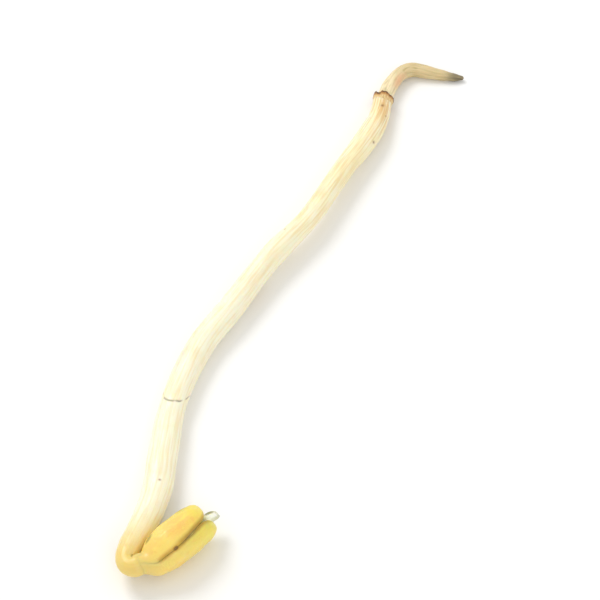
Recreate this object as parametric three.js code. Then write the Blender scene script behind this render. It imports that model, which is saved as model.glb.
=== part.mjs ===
// Mung bean sprout, lying on a flat surface.
// A pale stem bends round a hook into the head: two thick seed leaves with the first pair of
// true leaves folded between them. At its other end a brown collar carries the thin root.
// Millimetres, +Z up. The origin is under the middle of the sprout, on the surface.
import * as THREE from 'three';

// Driving dimensions of the stem and root
const STEM_SIDES = 22;
const ROOT_SIDES = 14;
const RINGS_PER_STATION = 4;
const STEM_FLATTENING = 0.97;
const PIECE_GAP = 0.15;

// The head: where the seed leaves spring from the stem, which way they point in plan, and how
// far the plane of their split leans over
const HEAD_BASE = new THREE.Vector3(-12.69, -29.38, 1.95);
const HEAD_TURN = THREE.MathUtils.degToRad(45);
const HEAD_LEAN = THREE.MathUtils.degToRad(28.9);

// Seed leaves
const SEED_LEAF_STATIONS = 20;
const SEED_LEAF_SIDES = 28;
const SEED_LEAF_HALF_WIDTH = 2.0;
const SEED_LEAF_BASE = -0.02;
const SEED_LEAF_CLOSING = 0.985;
const BULGE_FULLNESS = 0.9;
const HOLLOW_DEPTH = 0.98;
const BASE_WIDTH_SHARE = 0.42;
const BASE_THICKNESS_SHARE = 0.66;
const BASE_HOLLOW_SHARE = 0.64;
const SHOULDER_SHARE = 0.34;
const TIP_BLUNTNESS = 6;
const TIP_ROUNDING = 0.7;

// True leaves
const LEAF_STATIONS = 20;
const LEAF_STRIPS = 8;
const LEAF_HALF_WIDTH = 1.15;
const LEAF_THICKNESS = 0.6;
const LEAF_CURL = 0.08;
const LEAF_BASE = 1.25;
const LEAF_MIDDLE = 0.46;
const LEAF_END_SHARE = 0.012;
const LEAF_BLUNTNESS = 2.2;
const LEAF_POINTEDNESS = 0.62;
const LEAF_END_THICKNESS = 0.4;
const LEAF_THICKENING = 1.4;

const materials = {
  stem: new THREE.MeshStandardMaterial({ color: 0xf6ecd0, roughness: 0.45, metalness: 0 }),
  root: new THREE.MeshStandardMaterial({ color: 0xd6c193, roughness: 0.6, metalness: 0 }),
  seedLeaf: new THREE.MeshStandardMaterial({ color: 0xf2d567, roughness: 0.42, metalness: 0 }),
  trueLeaf: new THREE.MeshStandardMaterial({ color: 0xd8cf86, roughness: 0.5, metalness: 0 }),
};

// The head's own frame: x runs out along the seed leaves, y across their split and z over their width
const head = new THREE.Group();
head.position.copy(HEAD_BASE);
head.rotation.set(HEAD_LEAN, 0, HEAD_TURN, 'ZXY');
head.updateMatrix();

function headStation(along, acrossSplit, thickness) {
  const place = new THREE.Vector3(along, acrossSplit, 0).applyMatrix4(head.matrix);
  return [place.x, place.y, place.z, thickness];
}

// Middle line of the stem, from the bud stalk between the seed leaves, through the node and
// round the hook, to the collar. Each row is x, y, z and the thickness there.
const STEM_ROUTE = [
  headStation(0.95, 0, 0.45),
  headStation(0.5, 0.08, 0.55),
  headStation(0.1, 0.24, 0.6),
  headStation(-0.15, 0.36, 0.9),
  headStation(-0.48, 0.48, 2.05),
  [-13.85, -29.51, 2.17, 1.92],
  [-14.48, -29.87, 2.22, 1.68],
  [-15.02, -29.8, 2.25, 1.56],
  [-15.43, -29.18, 2.2, 1.52],
  [-15.41, -28.23, 2.05, 1.62],
  [-14.92, -27.04, 1.85, 2.0],
  [-14.16, -25.37, 1.6, 2.32],
  [-13.33, -23.15, 1.43, 2.6],
  [-12.69, -20.25, 1.3, 2.8],
  [-12.41, -17.25, 1.28, 2.76],
  [-11.5, -11.05, 1.16, 2.5],
  [-9.2, -4.65, 1.19, 2.55],
  [-6.4, -0.35, 1.4, 2.48],
  [-2.86, 5.25, 1.72, 2.3],
  [0.72, 9.85, 1.93, 2.08],
  [2.56, 13.15, 1.9, 2.02],
  [4.26, 16.45, 1.7, 2.1],
  [5.8, 19.1, 1.5, 2.26],
  [6.91, 21.35, 1.3, 2.3],
  [7.72, 23.5, 1.08, 2.0],
  [8.1, 25.45, 0.99, 1.86],
  [8.16, 25.75, 0.99, 1.96],
];

// Middle line of the root, from the collar to the tip, in the same way
const ROOT_ROUTE = [
  [8.2, 25.75 + PIECE_GAP, 0.99, 1.5],
  [8.85, 27.61, 0.88, 1.5],
  [9.8, 29.2, 0.84, 1.4],
  [10.95, 29.97, 0.74, 1.42],
  [12.23, 29.85, 0.66, 1.34],
  [13.81, 29.55, 0.51, 1.1],
  [15.07, 29.31, 0.42, 0.82],
  [16.22, 29.23, 0.34, 0.34],
];

// A closed body through equal rings of points, with a fan over each end
function loft(rings) {
  const sides = rings[0].length;
  const points = rings.flat();
  const faces = [];
  for (let ring = 0; ring < rings.length - 1; ring += 1) {
    for (let side = 0; side < sides; side += 1) {
      const here = ring * sides + side;
      const beside = ring * sides + ((side + 1) % sides);
      faces.push(here, beside, beside + sides, here, beside + sides, here + sides);
    }
  }
  for (const [ring, outward] of [[0, false], [rings.length - 1, true]]) {
    const middle = new THREE.Vector3();
    rings[ring].forEach((point) => middle.addScaledVector(point, 1 / sides));
    points.push(middle);
    for (let side = 0; side < sides; side += 1) {
      const here = ring * sides + side;
      const beside = ring * sides + ((side + 1) % sides);
      faces.push(points.length - 1, outward ? here : beside, outward ? beside : here);
    }
  }
  const geometry = new THREE.BufferGeometry().setFromPoints(points);
  geometry.setIndex(faces);
  geometry.computeVertexNormals();
  return geometry;
}

// A round stalk along a route. What would reach under the surface is pressed flat on it.
function stalk(route, sides, flattening) {
  const line = new THREE.CatmullRomCurve3(route.map(([x, y, z]) => new THREE.Vector3(x, y, z)));
  const steps = (route.length - 1) * RINGS_PER_STATION;
  const up = new THREE.Vector3(0, 0, 1);
  const rings = [];
  for (let step = 0; step <= steps; step += 1) {
    const share = step / steps;
    const station = Math.min(Math.floor(step / RINGS_PER_STATION), route.length - 2);
    const blend = THREE.MathUtils.smoothstep(step / RINGS_PER_STATION - station, 0, 1);
    const radius = THREE.MathUtils.lerp(route[station][3], route[station + 1][3], blend) / 2;
    const ahead = line.getTangent(share);
    const sideways = new THREE.Vector3().crossVectors(up, ahead).normalize();
    const above = new THREE.Vector3().crossVectors(ahead, sideways);
    const middle = line.getPoint(share);
    const ring = [];
    for (let side = 0; side < sides; side += 1) {
      const angle = (2 * Math.PI * side) / sides;
      const point = middle.clone();
      point.addScaledVector(sideways, radius * Math.cos(angle));
      point.addScaledVector(above, radius * flattening * Math.sin(angle));
      point.z = Math.max(point.z, 0);
      ring.push(point);
    }
    rings.push(ring);
  }
  return loft(rings);
}

// A thick half of the bean: bulging outside, hollow inside where the true leaves lie. Its
// section is a half ellipse closed by the hollow, and all its heights meet at its blunt tip.
function seedLeaf({ side, length, thickness, tipHeight }) {
  const rings = [];
  for (let station = 0; station <= SEED_LEAF_STATIONS; station += 1) {
    const share = Math.sin(((Math.PI / 2) * SEED_LEAF_CLOSING * station) / SEED_LEAF_STATIONS);
    const grown = Math.sin((Math.PI / 2) * Math.min(1, share / SHOULDER_SHARE));
    const round = Math.sqrt(1 - share ** TIP_BLUNTNESS);
    const fullHeight = thickness * THREE.MathUtils.lerp(BASE_THICKNESS_SHARE, 1, grown);
    const fullHollow = HOLLOW_DEPTH * THREE.MathUtils.lerp(BASE_HOLLOW_SHARE, 1, grown);
    const outer = THREE.MathUtils.lerp(tipHeight, fullHeight, round ** TIP_ROUNDING);
    const inner = THREE.MathUtils.lerp(tipHeight, fullHollow, round ** TIP_ROUNDING);
    const rim = THREE.MathUtils.lerp(tipHeight, PIECE_GAP / 2, round);
    const halfWidth = SEED_LEAF_HALF_WIDTH * THREE.MathUtils.lerp(BASE_WIDTH_SHARE, 1, grown) * round;
    const ring = [];
    for (let corner = 0; corner < SEED_LEAF_SIDES; corner += 1) {
      const angle = (2 * Math.PI * corner) / SEED_LEAF_SIDES;
      const across = Math.abs(Math.sin(angle));
      const bulge = (outer - rim) * across ** BULGE_FULLNESS;
      const dip = (inner - rim) * THREE.MathUtils.smoothstep(across, 0, 1);
      ring.push(new THREE.Vector3(
        THREE.MathUtils.lerp(SEED_LEAF_BASE, length, share),
        side * (rim + (corner <= SEED_LEAF_SIDES / 2 ? bulge : dip)),
        -side * halfWidth * Math.cos(angle),
      ));
    }
    rings.push(ring);
  }
  return loft(rings);
}

// A true leaf between the seed leaves: a curled blade, widest in the middle, that droops at its tip
function trueLeaf({ side, tip, droop, droopStart }) {
  const rings = [];
  for (let station = 0; station <= LEAF_STATIONS; station += 1) {
    const share = THREE.MathUtils.lerp(LEAF_END_SHARE, 1 - LEAF_END_SHARE, station / LEAF_STATIONS);
    const along = THREE.MathUtils.lerp(LEAF_BASE, tip, share);
    const outline = (1 - Math.abs(2 * share - 1) ** LEAF_BLUNTNESS) ** LEAF_POINTEDNESS;
    const past = Math.max(0, (along - droopStart) / (tip - droopStart));
    const height = LEAF_MIDDLE - droop * past ** 2;
    const thickness = LEAF_THICKNESS * Math.min(1, LEAF_END_THICKNESS + LEAF_THICKENING * outline);
    const upper = [];
    const lower = [];
    for (let strip = 0; strip <= LEAF_STRIPS; strip += 1) {
      const across = (2 * strip) / LEAF_STRIPS - 1;
      const curl = height - LEAF_CURL * across ** 2 * outline;
      const width = side * LEAF_HALF_WIDTH * outline * across;
      upper.push(new THREE.Vector3(along, side * (curl + thickness / 2), width));
      lower.unshift(new THREE.Vector3(along, side * (curl - thickness / 2), width));
    }
    rings.push([...upper, ...lower]);
  }
  return loft(rings);
}

function piece(name, geometry, material) {
  const mesh = new THREE.Mesh(geometry, material);
  mesh.name = name;
  return mesh;
}

const sprout = new THREE.Group();
sprout.name = 'mung_bean_sprout';
sprout.add(
  piece('stem', stalk(STEM_ROUTE, STEM_SIDES, STEM_FLATTENING), materials.stem),
  piece('taproot', stalk(ROOT_ROUTE, ROOT_SIDES, 1), materials.root),
  head,
);
head.add(
  piece(
    'cotyledon_upper',
    seedLeaf({ side: 1, length: 6.45, thickness: 2.45, tipHeight: 1.3 }),
    materials.seedLeaf,
  ),
  piece(
    'cotyledon_lower',
    seedLeaf({ side: -1, length: 6.6, thickness: 1.55, tipHeight: 0.66 }),
    materials.seedLeaf,
  ),
  piece('leaf_upper', trueLeaf({ side: 1, tip: 7.6, droop: 0.45, droopStart: 6.0 }), materials.trueLeaf),
  piece('leaf_lower', trueLeaf({ side: -1, tip: 6.7, droop: -0.1, droopStart: 5.0 }), materials.trueLeaf),
);

export default sprout;
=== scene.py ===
"""Dresses the solids of a mung bean sprout with fine meshes and procedural materials.

The stem, the root with its collar, the seed leaves, the first leaves and the stage each have an
operator. Sizes in the code are millimetres in the frame of the solids, and meshes are in metres.
"""
import math

import bpy
import numpy as np
from mathutils import Matrix, Vector, noise


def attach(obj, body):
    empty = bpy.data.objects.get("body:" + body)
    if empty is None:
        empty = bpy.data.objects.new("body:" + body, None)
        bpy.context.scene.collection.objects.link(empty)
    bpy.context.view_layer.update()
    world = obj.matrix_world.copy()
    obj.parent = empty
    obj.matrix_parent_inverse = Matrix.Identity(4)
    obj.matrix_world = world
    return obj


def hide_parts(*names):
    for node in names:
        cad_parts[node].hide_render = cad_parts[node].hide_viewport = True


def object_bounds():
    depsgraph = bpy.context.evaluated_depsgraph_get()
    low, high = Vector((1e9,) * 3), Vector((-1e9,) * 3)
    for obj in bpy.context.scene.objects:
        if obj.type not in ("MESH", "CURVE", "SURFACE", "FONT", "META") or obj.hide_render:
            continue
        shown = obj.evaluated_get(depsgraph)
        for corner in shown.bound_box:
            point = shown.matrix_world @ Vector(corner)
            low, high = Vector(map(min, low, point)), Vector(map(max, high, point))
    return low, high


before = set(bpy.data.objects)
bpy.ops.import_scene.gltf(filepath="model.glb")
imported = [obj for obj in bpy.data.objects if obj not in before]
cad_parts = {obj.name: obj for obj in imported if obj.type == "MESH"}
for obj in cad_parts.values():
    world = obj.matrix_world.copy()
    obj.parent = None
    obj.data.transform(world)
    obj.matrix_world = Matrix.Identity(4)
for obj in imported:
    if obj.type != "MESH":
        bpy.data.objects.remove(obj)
CAD_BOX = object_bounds()

bl_info = {
    "name": "Mung Bean Sprout",
    "version": (1, 0, 0),
    "blender": (4, 5, 0),
    "location": "View3D > Sidebar > Sprout",
    "description": "Finished looks for a mung bean sprout: stem, collar, root, seed leaves, first leaves",
    "category": "Object",
}

MM = 0.001

# The head's own frame: x runs out along the seed leaves, y across their split, z over their width
HEAD_BASE = Vector((-12.69, -29.38, 1.95))
HEAD_TURN = math.radians(45)
HEAD_LEAN = math.radians(28.9)
HEAD = (
    Matrix.Translation(HEAD_BASE)
    @ Matrix.Rotation(HEAD_TURN, 4, "Z")
    @ Matrix.Rotation(HEAD_LEAN, 4, "X")
)


def head_station(along, across_split, thickness):
    """A row of the stem's route, given in the head's own frame."""
    return (*(HEAD @ Vector((along, across_split, 0))), thickness)


# Middle line of the stem, from the bud stalk through the node and the hook to the collar. Each
# row is x, y, z and the thickness there. The node is fuller than the solid's, which keeps clear
# of the seed leaves, so that they grow out of it here.
STEM_ROUTE = [
    head_station(0.95, 0, 0.5),
    head_station(0.5, 0.08, 0.95),
    head_station(0.05, 0.28, 1.4),
    head_station(-0.4, 0.46, 1.78),
    (-13.9, -29.48, 2.2, 1.93),
    (-14.46, -29.76, 2.22, 2.06),
    (-14.98, -29.77, 2.25, 1.84),
    (-15.36, -29.18, 2.2, 1.72),
    (-15.2, -28.25, 2.05, 2.02),
    (-14.78, -27.06, 1.85, 2.28),
    (-14.12, -25.37, 1.6, 2.42),
    (-13.33, -23.15, 1.43, 2.6),
    (-12.69, -20.25, 1.3, 2.8),
    (-12.41, -17.25, 1.28, 2.76),
    (-11.5, -11.05, 1.16, 2.5),
    (-9.2, -4.65, 1.19, 2.55),
    (-6.4, -0.35, 1.4, 2.48),
    (-2.86, 5.25, 1.72, 2.3),
    (0.72, 9.85, 1.93, 2.08),
    (2.56, 13.15, 1.9, 2.02),
    (4.26, 16.45, 1.7, 2.1),
    (5.8, 19.1, 1.5, 2.26),
    (6.91, 21.35, 1.3, 2.3),
    (7.72, 23.5, 1.08, 2.0),
    (8.1, 25.45, 0.99, 1.86),
    (8.16, 25.75, 0.99, 1.9),
]
STEM_FLATTENING = 0.97
HOOK_LENGTH = 6.0
HOOK_WRINKLE_HEIGHT = 0.03
HOOK_WRINKLE_GAP = 0.36
BEND_SPREAD = 1.2
# Bumps, here and below: their size, and how far they are drawn out on each axis of the grain
STEM_LUMPS = (1.3, (1, 1, 2.6))
STEM_RIDGES = (0.2, (1, 1, 26))
# Where the stem's relief and marks fade in or out, in millimetres along it or before the collar
STEM_RELIEF_FADE = (0.5, 3.0)
# Where the painted shade in the hook's inner bend fades in and out, in millimetres along the stem
CREASE_SHADE_FADE_IN = (2.4, 3.2)
CREASE_SHADE_FADE_OUT = (6.5, 5.0)
ROOT_HALF_BEFORE_COLLAR = (34.0, 4.0)
TAN_SIDES_BEFORE_COLLAR = (7.0, 0.6)

# Middle line of the root in the same way. It starts inside the collar.
ROOT_ROUTE = [
    (8.12, 25.5, 0.99, 1.4),
    (8.2, 25.9, 0.99, 1.5),
    (8.85, 27.61, 0.88, 1.5),
    (9.8, 29.2, 0.84, 1.4),
    (10.95, 29.97, 0.74, 1.42),
    (12.23, 29.85, 0.66, 1.34),
    (13.81, 29.55, 0.51, 1.1),
    (15.07, 29.31, 0.42, 0.82),
    (16.22, 29.23, 0.34, 0.4),
]
ROOT_WRINKLES = (0.26, (1, 1, 7))
ROOT_LUMPS = (0.9, (1, 1, 1.5))
ROOT_BANDS = (0.45, (3, 3, 0.35))
DARK_SIDE_ANGLE = 32
DARK_SIDE_FADE_IN = (3.6, 5.0)
GREY_BEFORE_TIP = (2.6, 0.5)

# Middle line of the collar, from the stem's skin to its torn lip over the root
COLLAR_ROUTE = [
    (8.03, 25.1, 1.0, 1.7),
    (8.1, 25.45, 0.99, 1.86),
    (8.2, 25.95, 0.99, 1.92),
    (8.36, 26.35, 0.97, 1.88),
]
# What share of it the lip reaches: the least, what each scallop adds, and what the tears add
COLLAR_LEAST_SHARE = 0.6
COLLAR_SCALLOP_SHARE = 0.2
COLLAR_RAGGED_SHARE = 0.09
COLLAR_SCALLOPS = 5
COLLAR_FLARE = 0.05
COLLAR_CRUMPLE = 0.03
COLLAR_THICKNESS = 0.07

# Seed leaves
SEED_LEAF_BASE = -0.02
SEED_LEAF_HALF_WIDTH = 2.0
BULGE_FULLNESS = 0.9
HOLLOW_DEPTH = 0.98
BASE_WIDTH_SHARE = 0.62
BASE_THICKNESS_SHARE = 0.75
BASE_HOLLOW_SHARE = 0.64
SHOULDER_SHARE = 0.34
TIP_BLUNTNESS = 6
TIP_ROUNDING = 0.7
MOUTH_SHARPNESS = 13
SEAM_RISE = 0.4
SEAM_RISE_STRETCH = (1.5, 6.0)
MOST_LIP_SHARE = 0.3
LAST_RING_SHARE = 0.9996
SEED_LEAF_LUMP_SIZE = 1.5
SEED_LEAF_LUMP_HEIGHT = 0.1
DIMPLES = (0.6, (2.2, 1, 1))
SEED_LEAF_RIDGES = (0.34, (8, 1, 1))
# Their heels reach back over the neck and start at its radius. The neck's middle stands off the
# split, towards the upper leaf: some at the base, and more for each millimetre back from there.
HEEL_LENGTH = 1.5
HEEL_GROWTH = 1.4
HEEL_SETTLING = 0.15
NECK_RADIUS = 0.95
NECK_MIDDLE = 0.28
NECK_LEAN = 0.44
NECK_DROP = 0.13

# First leaves
LEAF_HALF_WIDTH = 1.15
LEAF_BASE = 1.25
LEAF_MIDDLE = 0.54
LEAF_CURL = 0.26
LEAF_BLUNTNESS = 2.2
LEAF_POINTEDNESS = 0.62
LEAF_RUFFLE_HEIGHT = 0.05
LEAF_RUFFLE_GAP = 1.1
MIDRIB_WIDTH = 0.09
SIDE_VEIN_GAP = 0.62
SIDE_VEIN_WIDTH = 0.11
SIDE_VEIN_SLANT = 0.9

# Stage, in metres, with each lamp's name, place, width and watts
FLOOR_HALF_WIDTH = 1.5
FLOOR_DROP = 0.02 * MM
SURROUNDING_STRENGTH = 0.76
LAMPS = [
    ("window_light", (-0.17, 0.18, 0.3), 0.2, 0.63),
    ("front_light", (0.12, -0.3, 0.22), 0.2, 0.2),
]

# How fine the meshes are
STEM_STEP = 0.09
STEM_SIDES = 96
ROOT_STEP = 0.05
ROOT_SIDES = 72
COLLAR_STEP = 0.05
COLLAR_SIDES = 120
HEEL_RINGS = 28
SEED_LEAF_RINGS = 190
SEED_LEAF_SIDES = 176
LEAF_RINGS = 200
LEAF_STRIPS = 60


def linear(*rgb):
    """A colour as a screen shows it, 0 to 255, in the linear values that Blender works with."""
    shares = [value / 255 for value in rgb]
    return tuple(
        share / 12.92 if share <= 0.04045 else ((share + 0.055) / 1.055) ** 2.4 for share in shares
    )


def colour(name, description, *rgb):
    """A colour that a user can change."""
    return bpy.props.FloatVectorProperty(
        name=name, description=description, default=linear(*rgb), size=3, min=0, max=1, subtype="COLOR"
    )


def length(name, description, millimetres):
    """A length that a user can change. It is kept in metres."""
    return bpy.props.FloatProperty(
        name=name, description=description, default=millimetres * MM, precision=6, unit="LENGTH"
    )


def smooth(value, low, high):
    """0 below low, 1 above high, and a soft step between them."""
    share = np.clip((value - low) / (high - low), 0, 1)
    return share * share * (3 - 2 * share)


def mound(distance, reach):
    """1 where the distance is 0, falling softly to nothing past the reach."""
    return np.exp(-((distance / reach) ** 2))


def lerp(low, high, share):
    return low + (high - low) * share


def unit(vectors):
    return vectors / np.linalg.norm(vectors, axis=-1, keepdims=True)


def turned_from(angles, degrees):
    """How far each angle is turned from one in degrees, the short way round."""
    return np.angle(np.exp(1j * (angles - math.radians(degrees))))[None]


def turn(sides):
    """The angles of the corners round a ring."""
    return np.linspace(0, 2 * np.pi, sides, endpoint=False)


def rough(places, size, stretch=(1, 1, 1)):
    """Smooth noise from about -1 to 1 at each place, with bumps of the given size."""
    scaled = (places / (np.array(stretch) * size)).reshape(-1, 3)
    values = np.fromiter((noise.noise(place) for place in scaled.tolist()), float, len(scaled))
    return values.reshape(places.shape[:-1])


def smooth_route(route, steps=160):
    """Points and thicknesses along the centripetal curve through the rows of a route."""
    rows = np.array(route, float)
    stations = rows[:, :3]
    before_first = 2 * stations[0] - stations[1]
    after_last = 2 * stations[-1] - stations[-2]
    stations = np.vstack([before_first, stations, after_last])
    share = np.linspace(0, 1, steps, endpoint=False)[:, None]
    blend = smooth(share[:, 0], 0, 1)
    points = []
    thickness = []
    for start in range(len(rows) - 1):
        before, here, there, after = stations[start:start + 4]
        gap_in = np.linalg.norm(here - before) ** 0.5
        gap = np.linalg.norm(there - here) ** 0.5
        gap_out = np.linalg.norm(after - there) ** 0.5
        leaving = (here - before) / gap_in - (there - before) / (gap_in + gap) + (there - here) / gap
        arriving = (there - here) / gap - (after - here) / (gap + gap_out) + (after - there) / gap_out
        leaving = leaving * gap
        arriving = arriving * gap
        square = -3 * here + 3 * there - 2 * leaving - arriving
        cube = 2 * here - 2 * there + leaving + arriving
        points.append(here + leaving * share + square * share ** 2 + cube * share ** 3)
        thickness.append(lerp(rows[start, 3], rows[start + 1, 3], blend))
    points.append(stations[-2][None])
    thickness.append(rows[-1:, 3])
    return np.concatenate(points), np.concatenate(thickness)


def straightened(angles, run):
    """Places on a surface as if its route were straight: x and y go round it, z along it."""
    return np.stack(np.broadcast_arrays(np.cos(angles), np.sin(angles), run), axis=-1)


class Trace:
    """A route cut into equal steps, with the directions round it at each step."""

    def __init__(self, route, step):
        points, thickness = smooth_route(route)
        gone = np.concatenate([[0], np.cumsum(np.linalg.norm(np.diff(points, axis=0), axis=1))])
        self.length = gone[-1]
        self.along = np.linspace(0, self.length, int(self.length / step) + 1)
        self.middle = np.stack([np.interp(self.along, gone, points[:, axis]) for axis in range(3)], 1)
        self.radius = np.interp(self.along, gone, thickness) / 2
        self.ahead = unit(np.gradient(self.middle, axis=0))
        self.sideways = unit(np.cross((0, 0, 1), self.ahead))
        self.above = np.cross(self.ahead, self.sideways)
        spread = np.hanning(int(BEND_SPREAD / step) | 1)
        spread = spread / spread.sum()
        bend = np.gradient(self.ahead, self.along, axis=0)
        softened = [np.convolve(bend[:, axis], spread, "same") for axis in range(3)]
        self.bend = np.stack(softened, axis=1)

    def outward(self, angles, flattening=1.0):
        """The way out from the middle line, for each step and angle. 90 degrees is up."""
        over = self.sideways[:, None] * np.cos(angles)[None, :, None]
        return over + self.above[:, None] * (flattening * np.sin(angles))[None, :, None]

    def along_at(self, y):
        """How far along the route passes a place on the y axis, past the hook."""
        past_hook = self.along > HOOK_LENGTH
        return np.interp(y, self.middle[past_hook, 1], self.along[past_hook])

    def open_bends(self, outward, radius, most=0.92):
        """The radius, made less inside a tight bend so that rings don't cross there."""
        inward = np.maximum((outward * self.bend[:, None]).sum(-1), 1e-6)
        return np.minimum(radius, most / inward)


def close_rings(rings, join_ends=False):
    """Points and faces of a closed body through equal rings, with a fan over each end."""
    count, sides = rings.shape[:2]
    points = rings.reshape(-1, 3)
    last = count if join_ends else count - 1
    here = (np.arange(last)[:, None] * sides + np.arange(sides)).ravel()
    beside = (np.arange(last)[:, None] * sides + (np.arange(sides) + 1) % sides).ravel()
    total = count * sides
    faces = np.stack([here, beside, (beside + sides) % total, (here + sides) % total], 1).tolist()
    if not join_ends:
        points = np.vstack([points, rings[0].mean(0), rings[-1].mean(0)])
        for side in range(sides):
            following = (side + 1) % sides
            faces.append((total, following, side))
            faces.append((total + 1, total - sides + side, total - sides + following))
    return points, faces


def body_mesh(name, rings, marks, join_ends=False):
    """A mesh object through rings in millimetres, pressed flat where it would dip under the floor.

    Each mark is kept on its points for the material.
    """
    rings[..., 2] = np.maximum(rings[..., 2], 0)
    points, faces = close_rings(rings, join_ends)
    mesh = bpy.data.meshes.new(name)
    mesh.from_pydata((points * MM).tolist(), [], faces)
    mesh.shade_smooth()
    for mark, values in marks.items():
        vector = values.ndim == 3
        flat = values.reshape(-1, 3) if vector else values.reshape(-1, 1)
        if not join_ends:
            ends = [values[0].mean(axis=0, keepdims=True), values[-1].mean(axis=0, keepdims=True)]
            flat = np.vstack([flat, *[np.reshape(end, (1, -1)) for end in ends]])
        attribute = mesh.attributes.new(mark, "FLOAT_VECTOR" if vector else "FLOAT", "POINT")
        attribute.data.foreach_set("vector" if vector else "value", flat.astype(np.float32).ravel())
    mesh.update()
    piece = bpy.data.objects.new(name, mesh)
    bpy.context.scene.collection.objects.link(piece)
    return piece


def place_piece(piece, material, slot, *nodes):
    """Gives a piece its material and its place in the frame."""
    piece.data.materials.append(material)
    if nodes:
        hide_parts(*nodes)
    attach(piece, "root")


class Socket:
    """A node's output that can stand in a Python expression. Each sum or product adds a Math node."""

    def __init__(self, shader, output):
        self.shader = shader
        self.output = output

    def _maths(self, operation, first, second):
        return self.shader.node("ShaderNodeMath", {"operation": operation}, {0: first, 1: second})

    def __add__(self, other):
        return self._maths("ADD", self, other)

    __radd__ = __add__

    def __sub__(self, other):
        return self._maths("SUBTRACT", self, other)

    def __rsub__(self, other):
        return self._maths("SUBTRACT", other, self)

    def __mul__(self, other):
        return self._maths("MULTIPLY", self, other)

    __rmul__ = __mul__

    def __pow__(self, other):
        return self._maths("POWER", self, other)


class Shader:
    """A material and the nodes in it."""

    def __init__(self, name):
        self.material = bpy.data.materials.new(name)
        self.material.use_nodes = True
        self.tree = self.material.node_tree
        self.tree.nodes.clear()

    def node(self, kind, settings=None, inputs=None, output=0):
        """Adds a node, with its settings set first, then its sockets' values or links."""
        made = self.tree.nodes.new(kind)
        for name, value in (settings or {}).items():
            setattr(made, name, value)
        for name, value in (inputs or {}).items():
            if isinstance(value, Socket):
                self.tree.links.new(value.output, made.inputs[name])
            else:
                made.inputs[name].default_value = value
        return Socket(self, made.outputs[output])

    def mark(self, name, output="Fac"):
        """What the mesh keeps on its points under a name."""
        return self.node("ShaderNodeAttribute", {"attribute_name": name}, {}, output)

    def grain(self, stretch=(1, 1, 1)):
        """The places on the piece in millimetres, straightened out, and drawn out by the stretch."""
        scale = tuple(1 / amount for amount in stretch)
        places = self.mark("grain", "Vector")
        return self.node("ShaderNodeVectorMath", {"operation": "MULTIPLY"}, {0: places, 1: scale})

    def axis(self, vector, axis):
        return self.node("ShaderNodeSeparateXYZ", {}, {"Vector": vector}, axis)

    def cloud(self, places, size, detail=3.0, distortion=0.0):
        """Noise from 0 to 1 with patches of the given size."""
        sockets = {"Vector": places, "Scale": 1 / size, "Detail": detail, "Distortion": distortion}
        return self.node("ShaderNodeTexNoise", {}, sockets)

    def cells(self, places, size):
        """Distance to the nearest of many scattered points, in cells of the given size."""
        return self.node("ShaderNodeTexVoronoi", {}, {"Vector": places, "Scale": 1 / size})

    def step(self, value, low, high):
        """0 at low, 1 at high, and a soft step between them. Low may be the larger number."""
        settings = {"interpolation_type": "SMOOTHSTEP", "clamp": True}
        sockets = {"Value": value, "From Min": low, "From Max": high}
        if low > high:
            sockets = {"Value": value, "From Min": high, "From Max": low, "To Min": 1.0, "To Max": 0.0}
        return self.node("ShaderNodeMapRange", settings, sockets)

    def spot(self, places, centre, inner, outer):
        """1 within the inner distance of a place, falling to 0 at the outer one."""
        settings = {"operation": "DISTANCE"}
        distance = self.node("ShaderNodeVectorMath", settings, {0: places, 1: centre}, "Value")
        return self.step(distance, outer, inner)

    def mix(self, factor, first, second, blend="MIX"):
        """One colour where the factor is 0, another where it is 1."""
        settings = {"data_type": "RGBA", "blend_type": blend, "clamp_factor": True}
        sockets = {0: factor, 6: opaque(first), 7: opaque(second)}
        return self.node("ShaderNodeMix", settings, sockets, 2)

    def finish(self, base, roughness, height, depth, constants):
        """Ends the material in one Principled shader, with its bumps from a height."""
        bump = self.node("ShaderNodeBump", {}, {"Height": height, "Distance": depth * MM, "Strength": 1.0})
        sockets = {"Base Color": base, "Roughness": roughness, "Normal": bump, **constants}
        shader = self.node("ShaderNodeBsdfPrincipled", {"subsurface_method": "RANDOM_WALK"}, sockets)
        end = self.tree.nodes.new("ShaderNodeOutputMaterial")
        self.tree.links.new(shader.output, end.inputs["Surface"])
        return self.material


def opaque(value):
    """A colour with full alpha, or a socket as it is."""
    return value if isinstance(value, Socket) else (*value, 1.0)


class StemSettings(bpy.types.PropertyGroup):
    """Sizes and colours of the stem."""

    flesh: colour("Flesh", "Pale cream of the straight stem", 253, 246, 220)
    warm: colour("Warm", "Yellower cream of the half towards the root", 250, 232, 172)
    shade: colour("Streaks", "Deeper cream of the streaks along the stem", 238, 214, 156)
    hook: colour("Hook", "Yellow of the hook and the node", 232, 203, 104)
    # The crease colour is painted shade: olive laid into the inner bend of the hook
    olive: colour("Crease", "Olive in the crease of the hook", 170, 146, 52)
    tan: colour("Bruises", "Tan of bruises and of the end by the collar", 222, 178, 112)
    brown: colour("Specks", "Brown of the specks", 140, 90, 26)
    crack: colour("Crack", "Grey-green of the ring crack", 98, 92, 54)
    lump_height: length("Lumps", "Height of the broad lumps", 0.055)
    ridge_height: length("Ridges", "Height of the fine ridges along the stem", 0.016)
    crack_depth: length("Crack", "Depth of the ring crack", 0.06)


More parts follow.
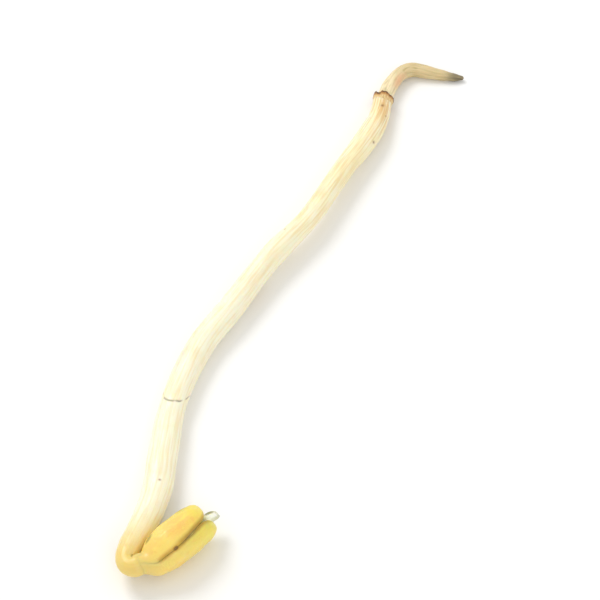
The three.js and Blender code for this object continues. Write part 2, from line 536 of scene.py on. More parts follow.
class RootSettings(bpy.types.PropertyGroup):
    """Sizes and colours of the root and its collar."""

    skin: colour("Skin", "Yellowish tan of the root", 222, 201, 152)
    pale: colour("Pale", "Paler skin near the collar", 248, 231, 190)
    olive: colour("Olive", "Olive shade in the wrinkles and patches", 168, 150, 92)
    tip: colour("Tip", "Grey-brown of the root's tip", 122, 112, 84)
    pink: colour("Pink", "Orange pink inside the bend", 238, 190, 146)
    collar_pale: colour("Collar start", "Light tan where the ring leaves the stem", 240, 208, 150)
    collar: colour("Collar", "Tan brown of the torn ring", 190, 138, 76)
    collar_dark: colour("Collar edge", "Dark brown of the ring's edge", 96, 68, 38)
    wrinkle_height: length("Wrinkles", "Height of the wrinkles along the root", 0.03)


class SeedLeafSettings(bpy.types.PropertyGroup):
    """Sizes and colours of the two seed leaves."""

    base: colour("Base", "Duller yellow where the seed leaves leave the stem", 234, 206, 112)
    flesh: colour("Flesh", "Yellow of the seed leaves", 248, 218, 110)
    tip: colour("Tip", "Greener yellow towards the tips", 242, 221, 92)
    orange: colour("Patches", "Orange patches on the outside", 242, 192, 96)
    # Olive also serves as painted shade: at the upper leaf's back edge, where it meets the stem, and in
    # the hollow inside
    olive: colour("Olive", "Olive shade at the edges", 168, 150, 44)
    rust: colour("Rust", "Golden brown of the rims and the specks", 204, 154, 40)
    brown: colour("Brown", "Darkest brown of the seam and the scar on it", 122, 80, 14)
    seam_overlap: length("Seam", "How far each rim is pressed into the other", 0.05)
    rim_rounding: length("Rim rounding", "Radius of the rims", 0.075)
    dimple_depth: length("Dimples", "Depth of the dimples outside", 0.14)
    ridge_height: length("Ridges", "Height of the faint ridges along the outside", 0.03)


class FirstLeafSettings(bpy.types.PropertyGroup):
    """Sizes and colours of the two folded first leaves."""

    blade: colour("Blade", "Pale yellow-green of the blades", 234, 226, 148)
    tip: colour("Tip", "Near white of the tips", 250, 248, 226)
    # The edge colour also serves as painted shade on the blade just past the upper seed leaf's tip
    edge: colour("Edge", "Grey-green of the margins", 132, 134, 72)
    vein: colour("Veins", "Paler green of the veins", 246, 240, 196)
    thickness: length("Thickness", "Thickness of the blades", 0.28)
    vein_height: length("Veins", "Height of the veins", 0.03)


class StageSettings(bpy.types.PropertyGroup):
    """The floor, the light and the camera."""

    floor: colour("Floor", "White of the surface under the sprout", 250, 250, 249)
    elevation: bpy.props.FloatProperty(
        name="Elevation",
        description="How far the camera looks down",
        default=math.radians(52),
        subtype="ANGLE",
        unit="ROTATION",
    )
    frame_height: length("Frame height", "Height of what the camera takes in", 56.0)
    lens: bpy.props.FloatProperty(
        name="Lens", description="Focal length of the camera", default=200.0, subtype="DISTANCE_CAMERA"
    )


def stem_material(settings):
    """Moist cream flesh that lets light in, yellower at the hook, with streaks, bruises, specks and
    painted shade in its crease.
    """
    shader = Shader("stem_flesh")
    places = shader.grain()
    run = shader.axis(places, "Z")
    streaks = shader.cloud(shader.grain((1, 1, 22)), 0.16, detail=2)
    blotches = shader.cloud(shader.grain((1, 1, 2.2)), 1.1, detail=4)
    fine = shader.cloud(places, 0.12, detail=2)
    root_half = shader.mark("root_half")
    base = shader.mix(root_half * shader.step(blotches, 0.2, 0.6) * 0.6, settings.flesh, settings.warm)
    base = shader.mix(shader.step(streaks, 0.4, 0.68) * (0.45 + root_half * 0.35), base, settings.shade)
    base = shader.mix(shader.step(blotches, 0.5, 0.78) * 0.4, base, settings.shade)
    hook = shader.step(run + blotches * 2.0, 11.5, 4.2)
    base = shader.mix(hook * 0.92, base, settings.hook)
    # Painted olive shade in the inner bend of the hook
    base = shader.mix(shader.mark("crease") * shader.step(fine, 0.2, 0.6), base, settings.olive)
    bruise = shader.mark("bruise") * shader.step(blotches + fine * 0.3, 0.42, 0.72)
    base = shader.mix(bruise * 0.75, base, settings.tan)
    specks = shader.step(shader.cells(shader.grain((1, 1, 2.2)), 0.85) + fine * 0.16, 0.16, 0.1)
    sparse = shader.step(shader.cloud(shader.grain((1, 1, 3)), 2.1), 0.56, 0.66)
    base = shader.mix(specks * sparse * 0.6, base, settings.tan)
    sides = shader.mark("near_collar") * shader.step(streaks, 0.4, 0.62)
    base = shader.mix(sides * 0.6, base, settings.tan)
    base = shader.mix(shader.mark("speck") * 0.85, base, settings.brown)
    crack = shader.mark("crack")
    base = shader.mix(crack * 0.75, base, settings.crack)
    roughness = 0.34 + streaks * 0.12 + bruise * 0.2 + crack * 0.2
    height = streaks * 0.5 + fine * 0.25 + blotches * 0.25
    constants = {
        "Subsurface Weight": 0.6,
        "Subsurface Radius": (1.0, 0.72, 0.34),
        "Subsurface Scale": 0.55 * MM,
        "Specular IOR Level": 0.5,
        "Coat Weight": 0.18,
        "Coat Roughness": 0.22,
    }
    return shader.finish(base, roughness, height, 0.05, constants)


def root_material(settings):
    """Dull wrinkled skin, paler near the collar, olive in its wrinkles and grey-brown at the tip."""
    shader = Shader("root_skin")
    run = shader.axis(shader.grain(), "Z")
    wrinkles = shader.cloud(shader.grain((1, 1, 9)), 0.16, detail=3)
    patches = shader.cloud(shader.grain((1, 1, 1.6)), 0.9, detail=4, distortion=0.4)
    fine = shader.cloud(shader.grain(), 0.1, detail=3)
    base = shader.mix(shader.step(run + patches, 6.0, 1.5), settings.skin, settings.pale)
    base = shader.mix(shader.step(wrinkles, 0.5, 0.75) * 0.4, base, settings.olive)
    base = shader.mix(shader.step(patches, 0.55, 0.75) * 0.5, base, settings.olive)
    base = shader.mix(shader.mark("groove") * 0.3, base, settings.olive)
    inside_bend = shader.spot(shader.grain((1, 1, 1.8)), (-0.85, 0.5, 1.75), 0.2, 0.95)
    base = shader.mix(inside_bend * 0.8, base, settings.pink)
    dark_side = shader.mark("dark_side") * shader.step(wrinkles, 0.3, 0.6)
    base = shader.mix(dark_side * 0.7, base, settings.olive)
    base = shader.mix(shader.mark("end") * shader.step(patches, 0.1, 0.55), base, settings.tip)
    specks = shader.step(shader.cells(shader.grain(), 0.5) + fine * 0.16, 0.18, 0.11)
    base = shader.mix(specks * 0.45, base, settings.tip)
    roughness = 0.5 + patches * 0.2
    height = wrinkles * 0.6 + fine * 0.4
    constants = {
        "Subsurface Weight": 0.35,
        "Subsurface Radius": (1.0, 0.66, 0.36),
        "Subsurface Scale": 0.5 * MM,
        "Coat Weight": 0.06,
        "Coat Roughness": 0.35,
    }
    return shader.finish(base, roughness, height, 0.06, constants)


def collar_material(settings):
    """Torn brown tissue, pale where it leaves the stem and darkest at its lip."""
    shader = Shader("collar_tissue")
    lip = shader.mark("lip")
    fibres = shader.cloud(shader.grain((1, 1, 5)), 0.1, detail=3)
    patches = shader.cloud(shader.grain(), 0.5, detail=3)
    base = shader.mix(shader.step(fibres, 0.4, 0.7) * 0.6, settings.collar_pale, settings.collar)
    base = shader.mix(shader.step(lip + patches * 0.4, 0.7, 1.0), base, settings.collar)
    base = shader.mix(shader.step(lip + fibres * 0.4, 0.95, 1.15), base, settings.collar_dark)
    roughness = 0.55 + fibres * 0.25
    height = fibres * 0.7 + patches * 0.3
    constants = {
        "Subsurface Weight": 0.2,
        "Subsurface Radius": (1.0, 0.5, 0.2),
        "Subsurface Scale": 0.3 * MM,
    }
    return shader.finish(base, roughness, height, 0.07, constants)


def seed_leaf_material(settings, name, upper):
    """Waxy yellow flesh with orange patches, olive edges and a brown rim, and painted olive shade at the
    back edge, by the stem and in the hollow.
    """
    shader = Shader(name)
    places = shader.grain()
    run = shader.axis(places, "X")
    patches = shader.cloud(places, 1.3, detail=4, distortion=0.3)
    veins = shader.cloud(shader.grain((7, 1, 1)), 0.22, detail=2)
    fine = shader.cloud(places, 0.16, detail=3)
    flecks = shader.cloud(shader.grain((2.5, 1, 1)), 0.32, detail=3, distortion=0.5)
    rim = shader.mark("rim")
    base = shader.mix(shader.step(run + patches * 1.5, 2.5, 6.5), settings.flesh, settings.tip)
    base = shader.mix(shader.step(patches, 0.5, 0.72) * 0.6, base, settings.orange)
    base = shader.mix(shader.step(veins, 0.5, 0.8) * 0.35, base, settings.orange)
    if upper:
        orange = shader.spot(shader.grain((1.6, 1, 1)), (2.0, 1.5, 1.6), 0.2, 1.5)
        painted_back_edge_shade = shader.spot(shader.grain((2.2, 1, 1)), (2.5, 2.3, 0.3), 0.1, 0.95)
        painted_shade_by_stem = shader.spot(shader.grain((2.6, 1, 1)), (0.3, 2.08, 0.35), 0.0, 0.6) + flecks * 0.7
        base = shader.mix(orange * shader.step(flecks, 0.3, 0.6) * 0.8, base, settings.orange)
        # Painted olive shade along the upper leaf's back edge, where its surface turns away
        base = shader.mix(painted_back_edge_shade * shader.step(patches, 0.3, 0.6) * 0.7, base, settings.olive)
        # Painted olive shade, deepened by a multiply, in the crease where the upper leaf's base meets the
        # stem arm
        base = shader.mix(shader.step(painted_shade_by_stem, 0.6, 1.3) * 0.75, base, settings.olive)
        base = shader.mix(shader.step(painted_shade_by_stem, 1.0, 1.4) * 0.4, base, settings.olive, "MULTIPLY")
    # Painted olive shade on the hollow inner faces between the seed leaves
    inside = shader.mark("inside")
    base = shader.mix(inside * 0.4, base, settings.olive)
    near_base = shader.step(run, 1.5, 0.7)
    base = shader.mix(rim * near_base, base, settings.orange)
    olive = shader.step(run, 1.0, 2.2) * shader.step(patches, 0.2, 0.55)
    base = shader.mix(rim * olive * 0.8, base, settings.olive)
    base = shader.mix(rim ** 2 * 0.9, base, settings.rust)
    mouth = shader.step(run, 2.2, 3.4) * (1 - shader.step(run, 4.8, 6.4))
    base = shader.mix(rim ** 3 * mouth * 0.45, base, settings.brown)
    base = shader.mix(shader.step(run, 0.5, -1.1), base, settings.base)
    scar = shader.spot(shader.grain((1.7, 1, 1)), (0.96, 0.04, 1.95), 0.0, 0.32) * (0.5 + flecks)
    base = shader.mix(shader.step(scar, 0.12, 0.45), base, settings.rust)
    base = shader.mix(shader.step(scar, 0.35, 0.7) * 0.85, base, settings.brown)
    specks = shader.step(shader.cells(shader.grain((1.5, 1, 1)), 0.85) + fine * 0.16, 0.17, 0.1)
    base = shader.mix(specks * 0.45, base, settings.rust)
    roughness = 0.36 + patches * 0.16 + rim * 0.12
    height = fine * 0.5 + veins * 0.3 + patches * 0.2
    constants = {
        "Subsurface Weight": 0.45,
        "Subsurface Radius": (1.0, 0.62, 0.16),
        "Subsurface Scale": 0.3 * MM,
        "Coat Weight": 0.3,
        "Coat Roughness": 0.18,
    }
    return shader.finish(base, roughness, height, 0.06, constants)


def first_leaf_material(settings):
    """Thin pale blade with lighter veins, near white at the tip inside a grey-green margin, and painted
    grey-green shade just past the seed leaf's tip.
    """
    shader = Shader("first_leaf_blade")
    run = shader.axis(shader.grain(), "X")
    vein = shader.mark("vein")
    margin = shader.mark("margin")
    patches = shader.cloud(shader.grain(), 0.7, detail=3)
    fine = shader.cloud(shader.grain(), 0.1, detail=2)
    base = shader.mix(shader.step(run + patches, 6.1, 7.3), settings.blade, settings.tip)
    base = shader.mix(vein * 0.7, base, settings.vein)
    base = shader.mix(margin * shader.step(patches, 0.1, 0.45) * 0.55, base, settings.edge)
    # Painted grey-green shade where the blade comes out from under the upper seed leaf's tip
    back = shader.spot(shader.grain((2, 1, 1)), (3.42, 0.5, 0.1), 0.0, 0.5) + patches * 0.6 + fine * 0.3
    base = shader.mix(shader.step(back, 0.6, 1.15) * 0.9, base, settings.edge)
    roughness = 0.42 + patches * 0.15
    height = fine * 0.6 + vein * 0.4
    constants = {
        "Subsurface Weight": 0.6,
        "Subsurface Radius": (1.0, 0.85, 0.4),
        "Subsurface Scale": 0.5 * MM,
        "Coat Weight": 0.12,
        "Coat Roughness": 0.3,
    }
    return shader.finish(base, roughness, height, 0.03, constants)


# Bruises on the stem: how far before the collar, at what angle, how long, wide and deep, how strong
BRUISES = [
    (1.1, 112, 1.5, 0.5, 0.02, 1.0),
    (4.3, 62, 1.6, 0.3, 0.0, 0.35),
    (15.0, 66, 2.6, 0.26, 0.02, 0.25),
    (24.5, 130, 1.8, 0.3, 0.03, 0.25),
    (37.0, 48, 2.6, 0.3, 0.03, 0.3),
    (50.5, 205, 1.6, 0.5, 0.04, 0.45),
    (27.0, 250, 1.8, 0.5, 0.04, 0.45),
]
# Dark specks on the stem: how far before the collar, at what angle and how wide
SPECKS = [(1.55, 100, 0.16), (6.2, 152, 0.14), (2.6, 140, 0.09), (20.5, 60, 0.08), (52.0, 100, 0.09)]
# The ring crack: where it is on the y axis, and how far it bows and wanders along the stem
CRACK_Y = -11.9
CRACK_SMILE = 1.9
CRACK_WANDER = 0.25
CRACK_WIDTH = 0.09
CRACK_GAP_SIZE = 0.33


def stem_marks(trace, angles, grain, settings):
    """The stem's bruises, its specks and its ring crack, and how deep they dent it."""
    left = trace.length - trace.along[:, None]
    bruise = np.zeros(grain.shape[:2])
    dent = np.zeros(grain.shape[:2])
    speck = np.zeros(grain.shape[:2])
    for before_collar, degrees, long, wide, depth, strength in BRUISES:
        spread = mound(left - before_collar, long) * mound(turned_from(angles, degrees), wide)
        bruise = np.maximum(bruise, strength * spread)
        dent += depth * spread
    for before_collar, degrees, wide in SPECKS:
        spread = mound(left - before_collar, wide) * mound(turned_from(angles, degrees), wide)
        speck = np.maximum(speck, spread)
        dent += 0.2 * wide * spread
    crack_along = trace.along_at(CRACK_Y) + CRACK_SMILE * (1 - np.sin(angles))
    ring = straightened(angles, 0)
    crack_along = crack_along + CRACK_WANDER * rough(ring, 0.5)[None]
    off = trace.along[:, None] - crack_along
    broken = smooth(np.sin(angles), -0.1, 0.35) * smooth(rough(ring, CRACK_GAP_SIZE), -0.35, -0.05)
    crack = mound(off, CRACK_WIDTH) * broken
    lip = mound(off - 2.2 * CRACK_WIDTH, 1.6 * CRACK_WIDTH) * broken
    dent += settings.crack_depth / MM * (crack - 0.45 * lip)
    every_angle = np.ones(len(angles))
    marks = {
        "bruise": bruise,
        "crack": crack,
        "speck": speck,
        "near_collar": smooth(left, *TAN_SIDES_BEFORE_COLLAR) * every_angle,
        "root_half": smooth(left, *ROOT_HALF_BEFORE_COLLAR) * every_angle,
    }
    return marks, dent


def make_stem(settings):
    """The stem with its hook: a long bent stalk with ridges, lumps, dents and wrinkles in its bends."""
    trace = Trace(STEM_ROUTE, STEM_STEP)
    angles = turn(STEM_SIDES)
    grain = straightened(angles, trace.along[:, None])
    outward = trace.outward(angles, STEM_FLATTENING)
    inner_bend = smooth((outward * trace.bend[:, None]).sum(-1), 0.25, 0.95)
    marks, dents = stem_marks(trace, angles, grain, settings)
    fades = smooth(trace.along, *STEM_RELIEF_FADE)[:, None]
    lumps = rough(grain, *STEM_LUMPS) * settings.lump_height / MM
    ridges = rough(grain, *STEM_RIDGES) * settings.ridge_height / MM
    folds = np.sin(2 * np.pi * grain[..., 2] / HOOK_WRINKLE_GAP + 2 * rough(grain, 0.6))
    wrinkles = HOOK_WRINKLE_HEIGHT * folds * inner_bend
    radius = trace.radius[:, None] + (lumps + ridges) * fades + wrinkles - dents
    radius = trace.open_bends(outward, radius)
    rings = trace.middle[:, None] + outward * radius[..., None]
    # Where the painted shade of the hook's inner bend lies
    in_hook = smooth(trace.along, *CREASE_SHADE_FADE_IN) * smooth(trace.along, *CREASE_SHADE_FADE_OUT)
    marks.update(grain=grain, crease=smooth(inner_bend, 0.15, 0.75) * in_hook[:, None])
    return body_mesh("stem_skin", rings, marks)


def make_root(settings):
    """The root: wrinkled along its length, with low bumps and a rounded tip."""
    trace = Trace(ROOT_ROUTE, ROOT_STEP)
    angles = turn(ROOT_SIDES)
    grain = straightened(angles, trace.along[:, None])
    left = (trace.length - trace.along)[:, None]
    tip_radius = trace.radius[-1]
    closing = np.sqrt(1 - np.clip(1 - left / tip_radius, 0, 0.999) ** 2)
    wrinkles = rough(grain, *ROOT_WRINKLES)
    lumps = rough(grain, *ROOT_LUMPS)
    bands = rough(grain, *ROOT_BANDS)
    relief = settings.wrinkle_height / MM * (wrinkles + 1.2 * lumps + 0.5 * bands)
    radius = (trace.radius[:, None] * (1 + relief / trace.radius.max())) * closing
    rings = trace.middle[:, None] + trace.outward(angles) * radius[..., None]
    past_bend = smooth(trace.along, *DARK_SIDE_FADE_IN)[:, None]
    marks = {
        "grain": grain,
        "groove": smooth(-wrinkles, 0.05, 0.45),
        "dark_side": mound(turned_from(angles, DARK_SIDE_ANGLE), 0.3) * past_bend,
        "end": smooth(left, *GREY_BEFORE_TIP) * np.ones(len(angles)),
    }
    return body_mesh("root_skin", rings, marks)


def make_collar():
    """The collar: a torn ring of skin with a scalloped lip that stands off the root."""
    trace = Trace(COLLAR_ROUTE, COLLAR_STEP)
    angles = turn(COLLAR_SIDES)
    count = len(trace.along)
    share = (trace.along / trace.length)[:, None]
    scallops = 0.5 - 0.5 * np.cos(COLLAR_SCALLOPS * angles + 0.9)
    ragged = rough(straightened(angles, 0), 0.22)
    lip_share = COLLAR_LEAST_SHARE + COLLAR_SCALLOP_SHARE * scallops + COLLAR_RAGGED_SHARE * ragged
    where = share * lip_share
    flare = smooth(share, 0.2, 0.7) + smooth(share, 0.75, 1.0) * (1 + ragged)
    index = where * (count - 1)

    def at(values):
        """What the route has at each place on the ring."""
        columns = [np.interp(index, np.arange(count), values[:, axis]) for axis in range(values.shape[1])]
        return np.stack(columns, axis=-1)

    middle = at(trace.middle)
    sideways = unit(at(trace.sideways))
    above = unit(at(trace.above))
    radius = at(trace.radius[:, None])[..., 0] + COLLAR_FLARE * flare
    out = sideways * np.cos(angles)[None, :, None] + above * np.sin(angles)[None, :, None]
    crumple = COLLAR_CRUMPLE * rough(middle + out, 0.28)
    skin = COLLAR_THICKNESS * (1 - 0.5 * share)
    outer = middle + out * (radius + crumple)[..., None]
    inner = middle + out * (radius + crumple - skin)[..., None]
    rings = np.concatenate([outer, inner[::-1]])
    grain = straightened(angles, where * trace.length)
    lip = np.broadcast_to(share, index.shape)
    marks = {"grain": np.concatenate([grain, grain[::-1]]), "lip": np.concatenate([lip, lip[::-1]])}
    return body_mesh("collar_ring", rings, marks, join_ends=True)


def to_frame(places):
    """Places in the head's own frame, in the frame of the whole part."""
    turned = np.array(HEAD.to_3x3())
    return places @ turned.T + np.array(HEAD_BASE)


def make_seed_leaf(settings, name, side, tip, thickness, tip_height):
    """A thick half of the bean: rounded rims, dimples outside, a hollow inside, a heel on the neck."""
    heel = np.linspace(0, 1, HEEL_RINGS, endpoint=False)
    body = np.sin(np.pi / 2 * LAST_RING_SHARE * np.linspace(0, 1, SEED_LEAF_RINGS))
    share = np.concatenate([np.zeros(HEEL_RINGS), body])[:, None]
    heel_run = lerp(-HEEL_LENGTH, SEED_LEAF_BASE, heel)
    body_run = lerp(SEED_LEAF_BASE, tip, body)
    run = np.concatenate([heel_run, body_run])[:, None]
    free = np.concatenate([heel ** HEEL_GROWTH, np.ones(SEED_LEAF_RINGS)])[:, None]
    settled = np.concatenate([smooth(heel, HEEL_SETTLING, 1), np.ones(SEED_LEAF_RINGS)])[:, None]
    grown = np.sin(np.pi / 2 * np.minimum(1, share / SHOULDER_SHARE))
    rounding = np.sqrt(1 - share ** TIP_BLUNTNESS)
    full_height = thickness * lerp(BASE_THICKNESS_SHARE, 1, grown)
    full_hollow = HOLLOW_DEPTH * lerp(BASE_HOLLOW_SHARE, 1, grown)
    outer = lerp(tip_height, full_height, rounding ** TIP_ROUNDING)
    inner = lerp(tip_height, full_hollow, rounding ** TIP_ROUNDING)
    seam = side * SEAM_RISE * smooth(run, *SEAM_RISE_STRETCH) - settings.seam_overlap / MM
    rim = lerp(seam, tip_height, share ** MOUTH_SHARPNESS)
    half_width = SEED_LEAF_HALF_WIDTH * lerp(BASE_WIDTH_SHARE, 1, grown) * rounding
    angles = turn(SEED_LEAF_SIDES)[None]
    across = np.abs(np.sin(angles))
    outside = (angles <= np.pi) * np.ones_like(share)
    lip = np.minimum(settings.rim_rounding / MM, MOST_LIP_SHARE * (outer - rim))
    from_edge = half_width * (1 - np.abs(np.cos(angles)))
    lip_curve = lip - np.sqrt(np.maximum(lip ** 2 - np.maximum(lip - from_edge, 0) ** 2, 0))
    bulge = rim + lip + (outer - rim - lip) * across ** BULGE_FULLNESS
    dip = rim + lip_curve + (inner - rim) * smooth(across, 0, 1)
    back = np.minimum(run, 0)
    neck_middle = side * (NECK_MIDDLE - NECK_LEAN * back) * (1 - settled)
    swell = np.where(outside > 0, bulge, dip)
    height = neck_middle + lerp(NECK_RADIUS * across * outside, swell, free)
    width = NECK_DROP * back - side * lerp(NECK_RADIUS, half_width, free) * np.cos(angles)
    run = np.broadcast_to(run, height.shape)
    grain = np.stack([run, side * height, width], axis=-1)
    fades = smooth(share, 0.0, 0.15) * rounding
    lumps = rough(grain, SEED_LEAF_LUMP_SIZE) * SEED_LEAF_LUMP_HEIGHT
    dimples = np.minimum(rough(grain, *DIMPLES) + 0.1, 0) * settings.dimple_depth / MM
    ridges = rough(grain, *SEED_LEAF_RIDGES) * settings.ridge_height / MM
    relief = (lumps + dimples + ridges) * fades * np.where(outside > 0, across ** 0.5, -0.25)
    whole = np.ones_like(run)
    normal = np.stack([0 * whole, side * across * whole, -side * np.cos(angles) * whole], axis=-1)
    rings = to_frame(grain + normal * relief[..., None])
    marks = {
        "grain": grain,
        "rim": (1 - smooth(across, 0.01, 0.22)) * rounding * free ** 3 * whole,
        "inside": (1 - outside) * smooth(across, 0.05, 0.3),
    }
    return body_mesh(name, rings, marks)


def both_sides(values):
    """Values across a blade's upper side, then back across its under side."""
    return np.concatenate([values, values[:, -2:0:-1]], axis=1)


def make_first_leaf(settings, name, side, tip, hood_start, ridge_end, margin_end):
    """A first leaf: a thin cupped blade with a midrib and side veins, closed to a hood at its tip."""
    share = np.linspace(0.004, 0.996, LEAF_RINGS)[:, None]
    along = lerp(LEAF_BASE, tip, share)
    outline = (1 - np.abs(2 * share - 1) ** LEAF_BLUNTNESS) ** LEAF_POINTEDNESS
    past = np.clip((along - hood_start) / (tip - hood_start), 0, 1)
    ridge = lerp(ridge_end, LEAF_MIDDLE, np.sqrt(1 - past ** 2))
    edge = lerp(LEAF_MIDDLE - LEAF_CURL, margin_end, smooth(along, hood_start - 3.5, hood_start - 0.8))
    strips = np.linspace(-1, 1, LEAF_STRIPS + 1)
    across = np.sin(np.pi / 2 * strips)[None]
    half_width = LEAF_HALF_WIDTH * outline
    ruffle = np.sin(2 * np.pi * along / LEAF_RUFFLE_GAP + 2 * across)
    wave = LEAF_RUFFLE_HEIGHT * ruffle * np.abs(across) ** 3
    curl = lerp(ridge, edge, np.abs(across) ** 1.8) + wave * outline
    side_run = along - SIDE_VEIN_SLANT * np.abs(across) * half_width
    off_vein = np.abs(((side_run / SIDE_VEIN_GAP) % 1) - 0.5)
    side_veins = mound(off_vein, SIDE_VEIN_WIDTH) * smooth(np.abs(across), 0.02, 0.12)
    midrib = mound(across * half_width, MIDRIB_WIDTH) * np.ones_like(along)
    veins = np.maximum(midrib, 0.6 * side_veins * (1 - 0.7 * np.abs(across)))
    thick = settings.thickness / MM * np.sqrt(np.maximum(1 - across ** 2, 0.0)) ** 0.5
    thick = thick * np.minimum(1, 0.35 + 1.2 * outline)
    vein_height = settings.vein_height / MM * veins * outline
    upper = curl + thick / 2 + vein_height
    lower = curl - thick / 2 + 0.4 * vein_height
    width = side * half_width * across
    top = np.stack([along * np.ones_like(across), side * upper, width], -1)
    bottom = np.stack([along * np.ones_like(across), side * lower, width], -1)[:, ::-1]
    grain = np.concatenate([top, bottom[:, 1:-1]], axis=1)
    rings = to_frame(grain)
    margin = smooth(np.abs(across), 0.8, 0.97) * np.ones_like(along) + smooth(share, 0.93, 0.985)
    margin = np.minimum(margin, 1) * smooth(along, tip - 1.6, tip - 0.9)
    marks = {
        "grain": grain,
        "vein": both_sides(veins),
        "margin": both_sides(margin),
    }
    return body_mesh(name, rings, marks)


class SPROUT_OT_stage(bpy.types.Operator):
    """Make the white floor, the soft light and the camera"""

    bl_idname = "sprout.stage"
    bl_label = "Stage"

    def execute(self, context):
        settings = context.scene.sprout_stage
        self.make_floor(settings)
        self.make_light(context.scene)
        self.make_camera(context.scene, settings)
        return {"FINISHED"}

    def make_floor(self, settings):
        """A wide matt sheet with a faint unevenness."""
        half = FLOOR_HALF_WIDTH
        mesh = bpy.data.meshes.new("floor")
        corners = [(-half, -half, 0), (half, -half, 0), (half, half, 0), (-half, half, 0)]
        mesh.from_pydata(corners, [], [(0, 1, 2, 3)])
        floor = bpy.data.objects.new("floor", mesh)
        floor.location.z = -FLOOR_DROP
        bpy.context.scene.collection.objects.link(floor)
        shader = Shader("floor_white")
        places = shader.node("ShaderNodeTexCoord", {}, {}, "Object")
        soft = shader.cloud(places, 0.03, detail=3)
        tone = tuple(0.985 * value for value in settings.floor)
        base = shader.mix(soft, settings.floor, tone)
        shader.finish(base, 0.7 + soft * 0.1, soft, 0.02, {"Specular IOR Level": 0.2})
        mesh.materials.append(shader.material)

    def make_light(self, scene):
        """An even white surrounding, a broad soft light from behind on the left, a weak one in front."""
        world = bpy.data.worlds.new("soft_surrounding")
        world.use_nodes = True
        background = world.node_tree.nodes["Background"]
        background.inputs["Color"].default_value = (1.0, 0.995, 0.985, 1.0)
        background.inputs["Strength"].default_value = SURROUNDING_STRENGTH
        scene.world = world
        for lamp in LAMPS:
            self.add_lamp(scene, *lamp)
        scene.view_settings.view_transform = "Standard"

    def add_lamp(self, scene, name, place, size, watts):
        light = bpy.data.lights.new(name, "AREA")
        light.shape = "DISK"
        light.size = size
        light.energy = watts
        lamp = bpy.data.objects.new(name, light)
        lamp.location = place
        lamp.rotation_euler = (-Vector(place)).to_track_quat("-Z", "Y").to_euler()
        scene.collection.objects.link(lamp)

    def make_camera(self, scene, settings):
        """The camera looks along +Y and down at the middle of the sprout."""
        data = bpy.data.cameras.new("camera")
        data.lens = settings.lens
        distance = settings.frame_height * data.lens / data.sensor_width
        data.clip_start = 0.01
        data.clip_end = 20.0
        low, high = CAD_BOX
        target = (low + high) / 2
        tilt = settings.elevation
        camera = bpy.data.objects.new("camera", data)
        camera.location = target + distance * Vector((0, -math.cos(tilt), math.sin(tilt)))
        camera.rotation_euler = (target - camera.location).to_track_quat("-Z", "Y").to_euler()
        scene.collection.objects.link(camera)
        scene.camera = camera


class SPROUT_OT_stem(bpy.types.Operator):
    """Make the stem's skin with its hook, ridges, bruises and ring crack"""

    bl_idname = "sprout.stem"
    bl_label = "Stem"

    def execute(self, context):
        settings = context.scene.sprout_stem
        place_piece(make_stem(settings), stem_material(settings), "stem", "stem")
        return {"FINISHED"}


class SPROUT_OT_root(bpy.types.Operator):
    """Make the thin root and the torn brown collar that it grows from"""

    bl_idname = "sprout.root"
    bl_label = "Root and collar"

    def execute(self, context):
        settings = context.scene.sprout_root
        place_piece(make_root(settings), root_material(settings), "root", "taproot")
        place_piece(make_collar(), collar_material(settings), "root")
        return {"FINISHED"}


class SPROUT_OT_seed_leaves(bpy.types.Operator):
    """Make the two thick yellow seed leaves"""

    bl_idname = "sprout.seed_leaves"
    bl_label = "Seed leaves"

    def execute(self, context):
        settings = context.scene.sprout_seed_leaf
        upper = make_seed_leaf(
            settings, "seed_leaf_upper", side=1, tip=6.45, thickness=2.45, tip_height=1.3
        )
        material = seed_leaf_material(settings, "seed_leaf_flesh_upper", upper=True)
        place_piece(upper, material, "seed_leaf", "cotyledon_upper")
        lower = make_seed_leaf(
            settings, "seed_leaf_lower", side=-1, tip=6.6, thickness=1.55, tip_height=0.66
        )
        material = seed_leaf_material(settings, "seed_leaf_flesh_lower", upper=False)
        place_piece(lower, material, "seed_leaf", "cotyledon_lower")
        return {"FINISHED"}


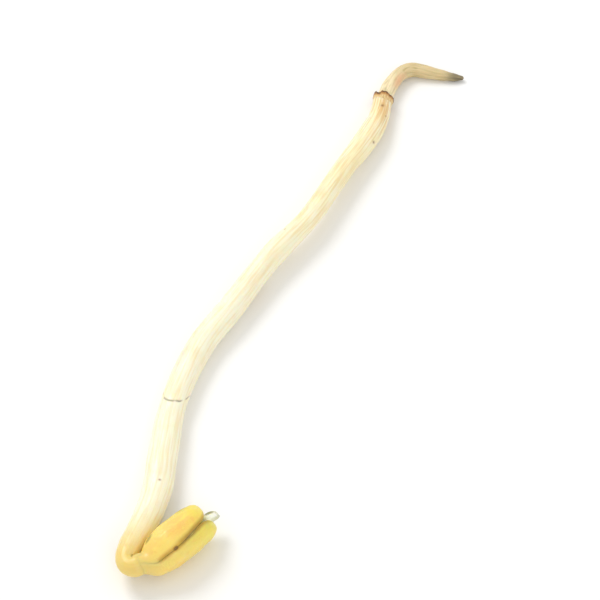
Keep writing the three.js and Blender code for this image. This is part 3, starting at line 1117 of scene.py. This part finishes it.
class SPROUT_OT_first_leaves(bpy.types.Operator):
    """Make the two thin first leaves folded between the seed leaves"""

    bl_idname = "sprout.first_leaves"
    bl_label = "First leaves"

    def execute(self, context):
        settings = context.scene.sprout_first_leaf
        material = first_leaf_material(settings)
        upper = make_first_leaf(
            settings, "first_leaf_upper", side=1, tip=7.6, hood_start=6.3, ridge_end=0.05, margin_end=-0.3
        )
        place_piece(upper, material, "true_leaf", "leaf_upper")
        lower = make_first_leaf(
            settings, "first_leaf_lower", side=-1, tip=6.7, hood_start=5.5, ridge_end=0.3, margin_end=0.15
        )
        place_piece(lower, material, "true_leaf", "leaf_lower")
        return {"FINISHED"}


OPERATORS = [
    SPROUT_OT_stage,
    SPROUT_OT_stem,
    SPROUT_OT_root,
    SPROUT_OT_seed_leaves,
    SPROUT_OT_first_leaves,
]
SETTINGS = {
    "sprout_stage": StageSettings,
    "sprout_stem": StemSettings,
    "sprout_root": RootSettings,
    "sprout_seed_leaf": SeedLeafSettings,
    "sprout_first_leaf": FirstLeafSettings,
}


class SPROUT_PT_sidebar(bpy.types.Panel):
    """Lists the sprout's pieces, each with its sizes and colours"""

    bl_label = "Mung Bean Sprout"
    bl_space_type = "VIEW_3D"
    bl_region_type = "UI"
    bl_category = "Sprout"

    def draw(self, context):
        for operator, group in zip(OPERATORS, SETTINGS):
            box = self.layout.box()
            box.operator(operator.bl_idname)
            for name in SETTINGS[group].__annotations__:
                box.prop(getattr(context.scene, group), name)


def register():
    for group, settings in SETTINGS.items():
        bpy.utils.register_class(settings)
        setattr(bpy.types.Scene, group, bpy.props.PointerProperty(type=settings))
    for operator in OPERATORS:
        bpy.utils.register_class(operator)
    bpy.utils.register_class(SPROUT_PT_sidebar)


def unregister():
    bpy.utils.unregister_class(SPROUT_PT_sidebar)
    for operator in reversed(OPERATORS):
        bpy.utils.unregister_class(operator)
    for group, settings in reversed(SETTINGS.items()):
        delattr(bpy.types.Scene, group)
        bpy.utils.unregister_class(settings)


def main():
    register()
    bpy.ops.sprout.stage()
    bpy.ops.sprout.stem()
    bpy.ops.sprout.root()
    bpy.ops.sprout.seed_leaves()
    bpy.ops.sprout.first_leaves()


if __name__ == "__main__":
    main()
